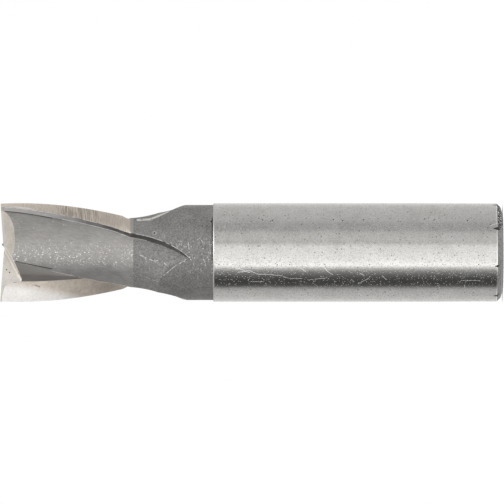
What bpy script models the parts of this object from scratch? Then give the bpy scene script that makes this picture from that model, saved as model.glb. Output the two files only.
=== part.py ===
"""Keyway cutter: a two-tooth, centre-cutting slot drill with a plain shank, made from one bar.

The axis is Z. The shank's end face stands on z = 0 and the teeth are at the top.
The blank is turned, and every cut that the real tool gets is taken from it in turn: the cleared
back of each tooth, the relief of each land, the helical flutes, and the faces of the end teeth.

Each cut is drawn in its tooth's own frame: u runs from the axis out to the cutting corner, v points
the way the tooth cuts, and depth is measured from the tip down towards the shank. Angles ahead of
the tooth are positive and those behind it are negative.
"""

import math

import bmesh
import bpy
from mathutils import Matrix, Vector

MM = 0.001

# The turned blank
CUTTING_DIAMETER = 16.0 * MM
SHANK_DIAMETER = 16.0 * MM
NECK_DIAMETER = 15.42 * MM
SHANK_LENGTH = 46.9 * MM
NECK_LENGTH = 15.1 * MM
LAND_LENGTH = 19.4 * MM
NECK_TAPER_LENGTH = 1.2 * MM
SHANK_SHOULDER_CHAMFER = 0.2 * MM
SHANK_END_CHAMFER = 0.62 * MM
SHANK_END_FALL_WIDTH = 1.2 * MM
SHANK_END_FALL_HEIGHT = 0.35 * MM
CENTRE_HOLE_MOUTH_DIAMETER = 3.8 * MM
CENTRE_HOLE_PILOT_DIAMETER = 1.8 * MM
CENTRE_HOLE_DEPTH = 3.6 * MM
CENTRE_HOLE_CONE_ANGLE = 60.0
PILOT_POINT_ANGLE = 118.0
GRINDING_ALLOWANCE = 0.15 * MM

# The helix, and where the first tooth stands at the tip
TEETH = 2
HELIX_ANGLE = 19.3
FIRST_TOOTH_AT = 7.5
FLUTE_PAST_LAND = 1.8 * MM

# The flute, seen along the axis
RAKE_ANGLE = 0.0
RAKE_FACE_WIDTH = 3.3 * MM
FLUTE_ROOT_RADIUS = 2.7 * MM
FLUTE_ROOT_ENTRY_ANGLE = 150.0
FLUTE_ROOT_SWEEP = 54.0
FLUTE_SIDE_ANGLE = 114.0
FLUTE_RUN_OUT_RADIUS = 10.0 * MM
FLUTE_RUN_OUT_DIRECTION = 83.4
FLUTE_RUN_OUT_SWEEP = 75.0

# The land, the step behind it and the cleared back of the tooth
LAND_WIDTH = 2.6 * MM
LAND_RELIEF = 0.46 * MM
LAND_RUN_OUT_LENGTH = 2.4 * MM
STEP_DEPTH = 0.7 * MM
STEP_LEAN = 24.0
BACK_RELIEF = 0.65 * MM
BACK_SWEEP = 85.0
BACK_RUN_OUT_RADIUS = 25.0 * MM
BACK_RUN_OUT_LEAD = 4.0 * MM
BACK_RUN_OUT_DIRECTION = -117.0
BACK_RUN_OUT_SWEEP = 39.0

# The end teeth
END_DISH_ANGLE = 3.9
END_RAKE_ANGLE = 11.0
END_RAKE_SET_BACK = 0.04 * MM
END_CLEARANCE_ANGLE = 8.0
END_LAND_WIDTH = 1.77 * MM
SECOND_CLEARANCE_ANGLE = 31.3
SECOND_CLEARANCE_TILT = 4.5
GASH_ANGLE = 28.5
GASH_ROOT_RADIUS = 0.5 * MM
GASH_DEPTHS_AT_AXIS = (-0.2 * MM, 1.2 * MM)

# How finely round shapes are faceted, and how far a cutter reaches past what it cuts
TURNED_SEGMENTS = 96
TWIST_STEP = 2.0
BACK_STEP = 7.0
LAND_STEP = 2.5
ROOT_STEPS = 5
FACE_STEPS = 6
RUN_OUT_STEPS = 16
CLEARANCE = 1.5 * MM
CLEARANCE_ANGLE = 6.0
BACK_END_BEHIND_NEXT = 36.0
STEEL = (0.55, 0.545, 0.53, 1.0)

OVERALL_LENGTH = SHANK_LENGTH + NECK_LENGTH + LAND_LENGTH
FLUTE_LENGTH = LAND_LENGTH + FLUTE_PAST_LAND
CUTTING_RADIUS = CUTTING_DIAMETER / 2
SHANK_RADIUS = SHANK_DIAMETER / 2
NECK_RADIUS = NECK_DIAMETER / 2
BLANK_RADIUS = CUTTING_RADIUS + GRINDING_ALLOWANCE
OUTSIDE_RADIUS = max(BLANK_RADIUS, SHANK_RADIUS, NECK_RADIUS) + CLEARANCE
FAR = 3 * OUTSIDE_RADIUS
TWIST = math.tan(math.radians(HELIX_ANGLE)) / CUTTING_RADIUS
LAND_ANGLE = math.degrees(LAND_WIDTH / CUTTING_RADIUS)
TOOTH_PITCH = 360.0 / TEETH


def slope(degrees):
    return math.tan(math.radians(degrees))


def polar(radius, degrees):
    """A point (u, v) at this radius, so many degrees ahead of the tooth."""
    angle = math.radians(degrees)
    return Vector((radius * math.cos(angle), radius * math.sin(angle)))


def steps_between(start, end, largest):
    """Evenly spaced values from start to end, no further apart than the largest step."""
    count = max(1, math.ceil(abs(end - start) / largest))
    return [start + (end - start) * step / count for step in range(count + 1)]


def tooth_frame(depth, tooth):
    """From a tooth's frame at this depth to the tool's own frame.

    The frame turns with the helix down to the end of the flutes and keeps its direction from there.
    """
    turn = math.radians(FIRST_TOOTH_AT + TOOTH_PITCH * tooth) - TWIST * min(depth, FLUTE_LENGTH)
    return Matrix.Translation((0, 0, OVERALL_LENGTH - depth)) @ Matrix.Rotation(turn, 4, "Z")


def rotation(degrees, axis):
    return Matrix.Rotation(math.radians(degrees), 4, axis)


def helix_depths(end):
    """The depths of a cutter's sections down the helix, from above the tip, the same for every cutter."""
    step = math.radians(TWIST_STEP) / TWIST
    return [step * count - CLEARANCE for count in range(math.ceil((end + CLEARANCE) / step))]


def run_out_depths(start, radius, sweep):
    """From the end of the flutes, the depths of a cutter's sections along the arc of a wheel."""
    first, last = math.asin((FLUTE_LENGTH - start) / radius), math.radians(sweep)
    angles = steps_between(first, last, (last - first) / RUN_OUT_STEPS)
    return [start + radius * math.sin(angle) for angle in angles]


def wheel_lift(depth, start, radius, direction):
    """How far a wheel of this radius has moved out at this depth, in a direction and from a start."""
    past = max(0.0, depth - start)
    return polar(radius - math.sqrt(radius**2 - past**2), direction)


def mesh_object(name, bm, collection):
    bmesh.ops.recalc_face_normals(bm, faces=bm.faces)
    mesh = bpy.data.meshes.new(name)
    bm.to_mesh(mesh)
    bm.free()
    obj = bpy.data.objects.new(name, mesh)
    collection.objects.link(obj)
    return obj


def lofted_cutter(name, sections, collection):
    """A closed solid through sections of the same number of points, each with its own frame."""
    bm = bmesh.new()
    rows = []
    for frame, outline in sections:
        rows.append([bm.verts.new(frame @ point.to_3d()) for point in outline])
    for row, next_row in zip(rows, rows[1:]):
        for index in range(len(row)):
            after = (index + 1) % len(row)
            bm.faces.new((row[index], row[after], next_row[after], next_row[index]))
    ends = [bm.faces.new(rows[0]), bm.faces.new(rows[-1])]
    bmesh.ops.triangulate(bm, faces=[face for face in bm.faces if face not in ends])
    bmesh.ops.triangulate(bm, faces=ends)
    return mesh_object(name, bm, collection)


def box_cutter(name, low, high, frame, collection, low_edge_radius=0.0):
    """A box between two corners of a frame. Its edge along u at the low corner can be rounded."""
    low, high = Vector(low), Vector(high)
    bm = bmesh.new()
    middle = Matrix.Translation((low + high) / 2)
    bmesh.ops.create_cube(bm, size=1.0, matrix=middle @ Matrix.Diagonal((*(high - low), 1.0)))
    if low_edge_radius:
        corner = (low + high).yz / 2
        low_edge = [
            edge
            for edge in bm.edges
            if all(vert.co.y < corner[0] and vert.co.z < corner[1] for vert in edge.verts)
        ]
        bmesh.ops.bevel(
            bm, geom=low_edge, offset=low_edge_radius, segments=ROOT_STEPS, profile=0.5, affect="EDGES"
        )
    bmesh.ops.transform(bm, matrix=frame, verts=bm.verts)
    return mesh_object(name, bm, collection)


def turned_blank(collection):
    """The bar as it leaves the lathe, with its centre hole: a profile turned by a Screw modifier."""
    mouth_radius, pilot_radius = CENTRE_HOLE_MOUTH_DIAMETER / 2, CENTRE_HOLE_PILOT_DIAMETER / 2
    cone_height = (mouth_radius - pilot_radius) / slope(CENTRE_HOLE_CONE_ANGLE / 2)
    point_height = pilot_radius / slope(PILOT_POINT_ANGLE / 2)
    end_radius = SHANK_RADIUS - SHANK_END_CHAMFER
    tip = OVERALL_LENGTH + GRINDING_ALLOWANCE
    profile = [
        (0, tip),
        (BLANK_RADIUS, tip),
        (BLANK_RADIUS, OVERALL_LENGTH - LAND_LENGTH),
        (NECK_RADIUS, OVERALL_LENGTH - LAND_LENGTH - NECK_TAPER_LENGTH),
        (NECK_RADIUS, SHANK_LENGTH),
        (SHANK_RADIUS - SHANK_SHOULDER_CHAMFER, SHANK_LENGTH),
        (SHANK_RADIUS, SHANK_LENGTH - SHANK_SHOULDER_CHAMFER),
        (SHANK_RADIUS, SHANK_END_FALL_HEIGHT + SHANK_END_CHAMFER),
        (end_radius, SHANK_END_FALL_HEIGHT),
        (end_radius - SHANK_END_FALL_WIDTH, 0),
        (mouth_radius, 0),
        (pilot_radius, cone_height),
        (pilot_radius, CENTRE_HOLE_DEPTH),
        (0, CENTRE_HOLE_DEPTH + point_height),
    ]
    mesh = bpy.data.meshes.new("keyway_cutter")
    edges = [(start, start + 1) for start in range(len(profile) - 1)]
    mesh.from_pydata([(radius, 0, height) for radius, height in profile], edges, [])
    blank = bpy.data.objects.new("keyway_cutter", mesh)
    collection.objects.link(blank)
    screw = blank.modifiers.new("turned", "SCREW")
    screw.axis = "Z"
    screw.steps = TURNED_SEGMENTS
    screw.render_steps = TURNED_SEGMENTS
    screw.use_merge_vertices = True
    screw.merge_threshold = 1e-6
    return blank


def back_outline():
    """The clearing cut behind a tooth: the step's wall, the back, and a return outside the blank."""
    land_end = polar(CUTTING_RADIUS - LAND_RELIEF, -LAND_ANGLE)
    wall = polar(1.0, STEP_LEAN - LAND_ANGLE)
    foot = land_end - wall * STEP_DEPTH
    foot_angle = math.degrees(math.atan2(foot.y, foot.x))
    last_angle = BACK_END_BEHIND_NEXT - TOOTH_PITCH
    back = []
    for angle in steps_between(foot_angle, last_angle, BACK_STEP):
        back.append(polar(foot.length - BACK_RELIEF * (foot_angle - angle) / BACK_SWEEP, angle))
    height = OUTSIDE_RADIUS - foot.length
    rising = [foot + wall * reach for reach in steps_between(0.0, height, height / FACE_STEPS)]
    top_angle = math.degrees(math.atan2(rising[-1].y, rising[-1].x))
    outside = [polar(OUTSIDE_RADIUS, angle) for angle in steps_between(last_angle, top_angle, BACK_STEP)]
    return back + outside[:-1] + rising[:0:-1]


def back_cutter(tooth, collection):
    """Down the helix, and out along the arc of a large wheel that lifts before the flutes end."""
    outline = back_outline()
    start = FLUTE_LENGTH - BACK_RUN_OUT_LEAD
    sections = []
    for depth in helix_depths(FLUTE_LENGTH) + run_out_depths(start, BACK_RUN_OUT_RADIUS, BACK_RUN_OUT_SWEEP):
        lift = wheel_lift(depth, start, BACK_RUN_OUT_RADIUS, BACK_RUN_OUT_DIRECTION)
        sections.append((tooth_frame(depth, tooth), [point + lift for point in outline]))
    return lofted_cutter(f"back_{tooth}", sections, collection)


def land_outline(lift):
    """The relief of a land: it falls away from the cutting edge, and lifts clear of the neck."""
    angles = steps_between(CLEARANCE_ANGLE, -LAND_ANGLE - CLEARANCE_ANGLE, LAND_STEP)
    relief = LAND_RELIEF / LAND_ANGLE
    land = [polar(CUTTING_RADIUS + relief * angle + lift, angle) for angle in angles]
    return land + [polar(OUTSIDE_RADIUS + CLEARANCE, angle) for angle in reversed(angles)]


def land_cutter(tooth, collection):
    """Down the helix, then out until the land stands clear of the neck."""
    sections = [(tooth_frame(depth, tooth), land_outline(0.0)) for depth in helix_depths(LAND_LENGTH)]
    rise = max(0.0, LAND_RELIEF - CUTTING_RADIUS + NECK_RADIUS) + GRINDING_ALLOWANCE
    for share in steps_between(0.0, 1.0, 1.0 / RUN_OUT_STEPS):
        depth = LAND_LENGTH + LAND_RUN_OUT_LENGTH * share
        sections.append((tooth_frame(depth, tooth), land_outline(rise * share ** 2)))
    return lofted_cutter(f"land_{tooth}", sections, collection)


def flute_outline():
    """The chip space ahead of a tooth: rake face, hollow root, and the side that makes the heel."""
    rake = polar(1.0, RAKE_ANGLE)
    side = polar(1.0, FLUTE_SIDE_ANGLE)
    inner_end = polar(CUTTING_RADIUS, 0.0) - rake * RAKE_FACE_WIDTH
    entry = FLUTE_ROOT_ENTRY_ANGLE - 90.0
    centre = inner_end + polar(FLUTE_ROOT_RADIUS, entry)
    root = [
        centre - polar(FLUTE_ROOT_RADIUS, angle)
        for angle in steps_between(entry, entry - FLUTE_ROOT_SWEEP, FLUTE_ROOT_SWEEP / ROOT_STEPS)
    ]
    past_edge = RAKE_FACE_WIDTH + CLEARANCE
    face = [inner_end + rake * reach for reach in steps_between(past_edge, 0.0, past_edge / FACE_STEPS)]
    heel = [root[-1] + side * reach for reach in steps_between(0.0, BLANK_RADIUS, BLANK_RADIUS / FACE_STEPS)]
    return [inner_end + rake * FAR, *face[:-1], *root, *heel[1:], root[-1] + side * FAR]


def flute_cutter(tooth, collection):
    """Down the helix, and out along the arc of the milling wheel."""
    outline = flute_outline()
    sections = [(tooth_frame(depth, tooth), outline) for depth in helix_depths(FLUTE_LENGTH)]
    for depth in run_out_depths(FLUTE_LENGTH, FLUTE_RUN_OUT_RADIUS, FLUTE_RUN_OUT_SWEEP):
        lift = wheel_lift(depth, FLUTE_LENGTH, FLUTE_RUN_OUT_RADIUS, FLUTE_RUN_OUT_DIRECTION)
        sections.append((tooth_frame(depth, tooth), [point + lift for point in outline]))
    return lofted_cutter(f"flute_{tooth}", sections, collection)


def end_frame(tooth):
    """At the outer corner of the tip, with u along the end edge."""
    return tooth_frame(0.0, tooth) @ Matrix.Translation((CUTTING_RADIUS, 0, 0))


def end_flank_cutter(tooth, collection):
    """The primary flank behind an end edge, dished towards the centre."""
    dish = Matrix.Shear("YZ", 4, (0.0, slope(END_DISH_ANGLE)))
    clearance = Matrix.Shear("XZ", 4, (0.0, slope(END_CLEARANCE_ANGLE)))
    low, high = (-FAR, -FAR, 0), (CLEARANCE, 0, FAR)
    return box_cutter(f"end_flank_{tooth}", low, high, end_frame(tooth) @ dish @ clearance, collection)


def second_flank_cutter(tooth, collection):
    """The steeper flank behind the primary one, which carries on across the tooth to its heel."""
    start = Matrix.Translation((0, -END_LAND_WIDTH, -END_LAND_WIDTH * slope(END_CLEARANCE_ANGLE)))
    tilt = rotation(SECOND_CLEARANCE_TILT, "Y") @ rotation(SECOND_CLEARANCE_ANGLE, "X")
    low, high = (-FAR, -FAR, 0), (FAR, FAR, FAR)
    return box_cutter(f"second_flank_{tooth}", low, high, end_frame(tooth) @ start @ tilt, collection)


def gash_cutter(tooth, collection):
    """The gash ahead of an end edge. Its wall is the edge's rake face and its floor falls outwards.

    The floor crosses the axis at its own depth for each tooth. One gash reaches past the axis and
    the other stops short of it, so that one end edge cuts as far as the centre.
    """
    floor = GASH_DEPTHS_AT_AXIS[tooth] + CUTTING_RADIUS * slope(GASH_ANGLE)
    wall = Matrix.Shear("XY", 4, (0.0, slope(END_RAKE_ANGLE)))
    start = Matrix.Translation((0, -END_RAKE_SET_BACK, 0)) @ wall @ Matrix.Translation((0, 0, -floor))
    frame = end_frame(tooth) @ start @ rotation(GASH_ANGLE, "Y")
    low, high = (-FAR, 0, 0), (FAR, FAR, FAR)
    return box_cutter(f"gash_{tooth}", low, high, frame, collection, GASH_ROOT_RADIUS)


def steel_material():
    material = bpy.data.materials.new("ground_tool_steel")
    material.use_nodes = True
    shader = material.node_tree.nodes["Principled BSDF"]
    shader.inputs["Base Color"].default_value = STEEL
    shader.inputs["Metallic"].default_value = 1.0
    shader.inputs["Roughness"].default_value = 0.35
    return material


def new_collection(name):
    collection = bpy.data.collections.new(name)
    bpy.context.scene.collection.children.link(collection)
    return collection


def build():
    for obj in list(bpy.data.objects):
        bpy.data.objects.remove(obj, do_unlink=True)
    parts = new_collection("Keyway cutter")
    cutters = new_collection("Cutters")
    cutter = turned_blank(parts)
    for make in (
        back_cutter,
        land_cutter,
        flute_cutter,
        end_flank_cutter,
        second_flank_cutter,
        gash_cutter,
    ):
        for tooth in range(TEETH):
            tool = make(tooth, cutters)
            tool.hide_render = True
            tool.display_type = "WIRE"
            cut = cutter.modifiers.new(tool.name, "BOOLEAN")
            cut.operation = "DIFFERENCE"
            cut.solver = "EXACT"
            cut.object = tool
    cutter.data.materials.append(steel_material())


build()
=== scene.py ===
"""The looks of the keyway cutter: its finished surface, the studio round it and the camera.

One piece, the finished tool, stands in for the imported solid. It is made the way the solid is, as a
turned bar with cuts taken from it, but finely, and each cut leaves its own finish behind. A second
piece is the burrs along its edges.

Each cut is drawn in its tooth's own frame: u runs from the axis out to the cutting corner, v points
the way the tooth cuts, and depth is measured from the tip down towards the shank. Angles ahead of
the tooth are positive and those behind it are negative.
"""

import math

import bmesh
import bpy
from mathutils import Matrix, Vector, noise
from mathutils.bvhtree import BVHTree

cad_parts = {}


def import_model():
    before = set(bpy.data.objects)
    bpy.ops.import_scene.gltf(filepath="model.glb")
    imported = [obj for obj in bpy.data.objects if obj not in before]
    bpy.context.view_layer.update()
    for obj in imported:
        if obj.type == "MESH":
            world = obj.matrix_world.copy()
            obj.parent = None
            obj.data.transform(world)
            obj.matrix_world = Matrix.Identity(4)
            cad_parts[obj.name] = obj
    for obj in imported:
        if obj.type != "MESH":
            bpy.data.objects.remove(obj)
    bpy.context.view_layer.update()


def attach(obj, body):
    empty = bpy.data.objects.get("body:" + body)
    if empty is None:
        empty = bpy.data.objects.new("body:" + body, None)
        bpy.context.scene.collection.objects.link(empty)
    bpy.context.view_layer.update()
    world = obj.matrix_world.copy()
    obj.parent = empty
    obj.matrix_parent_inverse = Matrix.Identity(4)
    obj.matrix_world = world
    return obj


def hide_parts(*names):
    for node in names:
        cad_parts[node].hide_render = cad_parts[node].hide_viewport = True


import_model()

MM = 0.001

# The turned blank
NODE = "keyway_cutter"
CUTTING_DIAMETER = 16.0 * MM
SHANK_DIAMETER = 16.0 * MM
NECK_DIAMETER = 15.42 * MM
SHANK_LENGTH = 46.9 * MM
NECK_LENGTH = 15.1 * MM
LAND_LENGTH = 19.4 * MM
NECK_TAPER_LENGTH = 1.2 * MM
SHANK_SHOULDER_CHAMFER = 0.2 * MM
SHANK_END_CHAMFER = 0.62 * MM
SHANK_END_FALL_WIDTH = 1.2 * MM
SHANK_END_FALL_HEIGHT = 0.35 * MM
CENTRE_HOLE_MOUTH_DIAMETER = 3.8 * MM
CENTRE_HOLE_PILOT_DIAMETER = 1.8 * MM
CENTRE_HOLE_DEPTH = 3.6 * MM
CENTRE_HOLE_CONE_ANGLE = 60.0
PILOT_POINT_ANGLE = 118.0
GRINDING_ALLOWANCE = 0.15 * MM

# The helix, and where the first tooth stands at the tip
TEETH = 2
HELIX_ANGLE = 19.3
FIRST_TOOTH_AT = 7.5
FLUTE_PAST_LAND = 1.8 * MM

# The flute, seen along the axis
RAKE_ANGLE = 0.0
RAKE_FACE_WIDTH = 3.3 * MM
FLUTE_ROOT_RADIUS = 2.7 * MM
FLUTE_ROOT_ENTRY_ANGLE = 150.0
FLUTE_ROOT_SWEEP = 54.0
FLUTE_SIDE_ANGLE = 114.0
FLUTE_RUN_OUT_RADIUS = 10.0 * MM
FLUTE_RUN_OUT_DIRECTION = 83.4
FLUTE_RUN_OUT_SWEEP = 75.0

# The land, the step behind it and the cleared back of the tooth
LAND_WIDTH = 2.6 * MM
LAND_RELIEF = 0.46 * MM
LAND_RUN_OUT_LENGTH = 2.4 * MM
STEP_DEPTH = 0.7 * MM
STEP_LEAN = 24.0
BACK_RELIEF = 0.65 * MM
BACK_SWEEP = 85.0
BACK_RUN_OUT_RADIUS = 25.0 * MM
BACK_RUN_OUT_LEAD = 4.0 * MM
BACK_RUN_OUT_DIRECTION = -117.0
BACK_RUN_OUT_SWEEP = 39.0

# The end teeth
END_DISH_ANGLE = 3.9
END_RAKE_ANGLE = 11.0
END_RAKE_SET_BACK = 0.04 * MM
END_CLEARANCE_ANGLE = 8.0
END_LAND_WIDTH = 1.77 * MM
SECOND_CLEARANCE_ANGLE = 31.3
SECOND_CLEARANCE_TILT = 4.5
GASH_ANGLE = 28.5
GASH_ROOT_RADIUS = 0.5 * MM
GASH_DEPTHS_AT_AXIS = (-0.2 * MM, 1.2 * MM)

# How finely round shapes are faceted, where they shade sharply, and how far a cutter reaches past
# what it cuts
TURNED_SEGMENTS = 256
TWIST_STEP = 0.9
BACK_STEP = 3.7
LAND_STEP = 1.7
ROOT_STEPS = 10
FACE_STEPS = 8
RUN_OUT_STEPS = 28
SHARP_ANGLE = 14.0
CLEARANCE = 1.5 * MM
CLEARANCE_ANGLE = 6.0
BACK_END_BEHIND_NEXT = 36.0

# The notches round the rim of the shank's end
NICKS = 8
FIRST_NICK_AT = -61.0
NICK_REACH = 1.6 * MM
NICK_WIDTH = 1.9 * MM
NICK_POINT = 0.01 * MM
NICK_SIDES = 4
NICK_VARIATION = 0.5
NICK_SPACING_IN_NOISE = 1.7

OVERALL_LENGTH = SHANK_LENGTH + NECK_LENGTH + LAND_LENGTH
FLUTE_LENGTH = LAND_LENGTH + FLUTE_PAST_LAND
CUTTING_RADIUS = CUTTING_DIAMETER / 2
SHANK_RADIUS = SHANK_DIAMETER / 2
NECK_RADIUS = NECK_DIAMETER / 2
BLANK_RADIUS = CUTTING_RADIUS + GRINDING_ALLOWANCE
OUTSIDE_RADIUS = BLANK_RADIUS + CLEARANCE
FAR = 3 * OUTSIDE_RADIUS
TWIST = math.tan(math.radians(HELIX_ANGLE)) / CUTTING_RADIUS
LAND_ANGLE = math.degrees(LAND_WIDTH / CUTTING_RADIUS)
TOOTH_PITCH = 360.0 / TEETH

# The finishes, in the order in which they become the piece's material slots
SHANK, SHOULDER, NECK, CHAMFER, END_FACE, BACK, STEP_WALL, LAND, RAKE, FLUTE, END_FLANK, GASH = range(12)


def slope(degrees):
    return math.tan(math.radians(degrees))


def polar(radius, degrees):
    """A point (u, v) at this radius, so many degrees ahead of the tooth."""
    angle = math.radians(degrees)
    return Vector((radius * math.cos(angle), radius * math.sin(angle)))


def steps_between(start, end, largest):
    """Evenly spaced values from start to end, no further apart than the largest step."""
    count = max(1, math.ceil(abs(end - start) / largest))
    return [start + (end - start) * step / count for step in range(count + 1)]


def tooth_frame(depth, tooth):
    """From a tooth's frame at this depth to the tool's own frame.

    The frame turns with the helix down to the end of the flutes and keeps its direction from there.
    """
    turn = math.radians(FIRST_TOOTH_AT + TOOTH_PITCH * tooth) - TWIST * min(depth, FLUTE_LENGTH)
    return Matrix.Translation((0, 0, OVERALL_LENGTH - depth)) @ Matrix.Rotation(turn, 4, "Z")


def rotation(degrees, axis):
    return Matrix.Rotation(math.radians(degrees), 4, axis)


def helix_depths(end):
    """The depths of a cutter's sections down the helix, from above the tip, the same for every cutter."""
    step = math.radians(TWIST_STEP) / TWIST
    return [step * count - CLEARANCE for count in range(math.ceil((end + CLEARANCE) / step))]


def run_out_depths(start, radius, sweep):
    """From the end of the flutes, the depths of a cutter's sections along the arc of a wheel."""
    first, last = math.asin((FLUTE_LENGTH - start) / radius), math.radians(sweep)
    angles = steps_between(first, last, (last - first) / RUN_OUT_STEPS)
    return [start + radius * math.sin(angle) for angle in angles]


def wheel_lift(depth, start, radius, direction):
    """How far a wheel of this radius has moved out at this depth, in a direction and from a start."""
    past = max(0.0, depth - start)
    return polar(radius - math.sqrt(radius**2 - past**2), direction)


def mesh_object(name, bm, materials):
    bmesh.ops.recalc_face_normals(bm, faces=bm.faces)
    mesh = bpy.data.meshes.new(name)
    bm.to_mesh(mesh)
    bm.free()
    for material in materials:
        mesh.materials.append(material)
    obj = bpy.data.objects.new(name, mesh)
    bpy.context.scene.collection.objects.link(obj)
    return obj


def lofted_cutter(name, sections, finishes, materials):
    """A closed solid through sections of the same number of points, each with its own frame.

    finishes names the finish that each side of the outline leaves, in the outline's order.
    """
    bm = bmesh.new()
    rows = []
    for section_frame, outline in sections:
        rows.append([bm.verts.new(section_frame @ point.to_3d()) for point in outline])
    for row, next_row in zip(rows, rows[1:]):
        for index in range(len(row)):
            after = (index + 1) % len(row)
            side = bm.faces.new((row[index], row[after], next_row[after], next_row[index]))
            side.material_index = finishes[index]
    ends = [bm.faces.new(rows[0]), bm.faces.new(rows[-1])]
    bmesh.ops.triangulate(bm, faces=[face for face in bm.faces if face not in ends])
    bmesh.ops.triangulate(bm, faces=ends)
    return mesh_object(name, bm, materials)


def box_cutter(name, low, high, box_frame, finish, materials, low_edge_radius=0.0):
    """A box between two corners of a frame. Its edge along u at the low corner can be rounded."""
    low, high = Vector(low), Vector(high)
    bm = bmesh.new()
    middle = Matrix.Translation((low + high) / 2)
    bmesh.ops.create_cube(bm, size=1.0, matrix=middle @ Matrix.Diagonal((*(high - low), 1.0)))
    if low_edge_radius:
        corner = (low + high).yz / 2
        low_edge = [
            edge
            for edge in bm.edges
            if all(vert.co.y < corner[0] and vert.co.z < corner[1] for vert in edge.verts)
        ]
        bmesh.ops.bevel(
            bm, geom=low_edge, offset=low_edge_radius, segments=ROOT_STEPS, profile=0.5, affect="EDGES"
        )
    for face in bm.faces:
        face.material_index = finish
    bmesh.ops.transform(bm, matrix=box_frame, verts=bm.verts)
    return mesh_object(name, bm, materials)


def turned_blank(materials):
    """The bar as it leaves the lathe, with its centre hole, turned from a profile of radius and height."""
    mouth_radius, pilot_radius = CENTRE_HOLE_MOUTH_DIAMETER / 2, CENTRE_HOLE_PILOT_DIAMETER / 2
    cone_height = (mouth_radius - pilot_radius) / slope(CENTRE_HOLE_CONE_ANGLE / 2)
    point_height = pilot_radius / slope(PILOT_POINT_ANGLE / 2)
    end_radius = SHANK_RADIUS - SHANK_END_CHAMFER
    tip = OVERALL_LENGTH + GRINDING_ALLOWANCE
    profile = [
        (0, tip, NECK),
        (BLANK_RADIUS, tip, NECK),
        (BLANK_RADIUS, OVERALL_LENGTH - LAND_LENGTH, NECK),
        (NECK_RADIUS, OVERALL_LENGTH - LAND_LENGTH - NECK_TAPER_LENGTH, NECK),
        (NECK_RADIUS, SHANK_LENGTH, SHOULDER),
        (SHANK_RADIUS - SHANK_SHOULDER_CHAMFER, SHANK_LENGTH, SHANK),
        (SHANK_RADIUS, SHANK_LENGTH - SHANK_SHOULDER_CHAMFER, SHANK),
        (SHANK_RADIUS, SHANK_END_FALL_HEIGHT + SHANK_END_CHAMFER, CHAMFER),
        (end_radius, SHANK_END_FALL_HEIGHT, CHAMFER),
        (end_radius - SHANK_END_FALL_WIDTH, 0, END_FACE),
        (mouth_radius, 0, END_FACE),
        (pilot_radius, cone_height, END_FACE),
        (pilot_radius, CENTRE_HOLE_DEPTH, END_FACE),
        (0, CENTRE_HOLE_DEPTH + point_height, END_FACE),
    ]
    bm = bmesh.new()
    rings = []
    for radius, height, _ in profile:
        count = TURNED_SEGMENTS if radius else 1
        turns = [2 * math.pi * step / TURNED_SEGMENTS for step in range(count)]
        rings.append([bm.verts.new((radius * math.cos(a), radius * math.sin(a), height)) for a in turns])
    for (_, _, finish), ring, next_ring in zip(profile, rings, rings[1:]):
        for index in range(TURNED_SEGMENTS):
            after = (index + 1) % TURNED_SEGMENTS
            corners = [ring[index % len(ring)], ring[after % len(ring)]]
            corners += [next_ring[after % len(next_ring)], next_ring[index % len(next_ring)]]
            face = bm.faces.new(dict.fromkeys(corners))
            face.material_index = finish
            face.smooth = True
    return mesh_object("finished_cutter", bm, materials)


def back_outline():
    """The clearing cut behind a tooth: the step's wall, the back, and a return outside the blank."""
    land_end = polar(CUTTING_RADIUS - LAND_RELIEF, -LAND_ANGLE)
    wall = polar(1.0, STEP_LEAN - LAND_ANGLE)
    foot = land_end - wall * STEP_DEPTH
    foot_angle = math.degrees(math.atan2(foot.y, foot.x))
    last_angle = BACK_END_BEHIND_NEXT - TOOTH_PITCH
    back = []
    for angle in steps_between(foot_angle, last_angle, BACK_STEP):
        back.append(polar(foot.length - BACK_RELIEF * (foot_angle - angle) / BACK_SWEEP, angle))
    height = OUTSIDE_RADIUS - foot.length
    rising = [foot + wall * reach for reach in steps_between(0.0, height, height / FACE_STEPS)]
    top_angle = math.degrees(math.atan2(rising[-1].y, rising[-1].x))
    outside = [polar(OUTSIDE_RADIUS, angle) for angle in steps_between(last_angle, top_angle, BACK_STEP)]
    outline = back + outside[:-1] + rising[:0:-1]
    return outline, [BACK] * (len(outline) - FACE_STEPS) + [STEP_WALL] * FACE_STEPS


def back_cutter(tooth, materials):
    """Down the helix, and out along the arc of a large wheel that lifts before the flutes end."""
    outline, sides = back_outline()
    start = FLUTE_LENGTH - BACK_RUN_OUT_LEAD
    sections = []
    for depth in helix_depths(FLUTE_LENGTH) + run_out_depths(start, BACK_RUN_OUT_RADIUS, BACK_RUN_OUT_SWEEP):
        lift = wheel_lift(depth, start, BACK_RUN_OUT_RADIUS, BACK_RUN_OUT_DIRECTION)
        sections.append((tooth_frame(depth, tooth), [point + lift for point in outline]))
    return lofted_cutter(f"back_{tooth}", sections, sides, materials)


def land_outline(lift):
    """The relief of a land: it falls away from the cutting edge, and lifts clear of the neck."""
    angles = steps_between(CLEARANCE_ANGLE, -LAND_ANGLE - CLEARANCE_ANGLE, LAND_STEP)
    relief = LAND_RELIEF / LAND_ANGLE
    land = [polar(CUTTING_RADIUS + relief * angle + lift, angle) for angle in angles]
    return land + [polar(OUTSIDE_RADIUS + CLEARANCE, angle) for angle in reversed(angles)]


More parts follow.
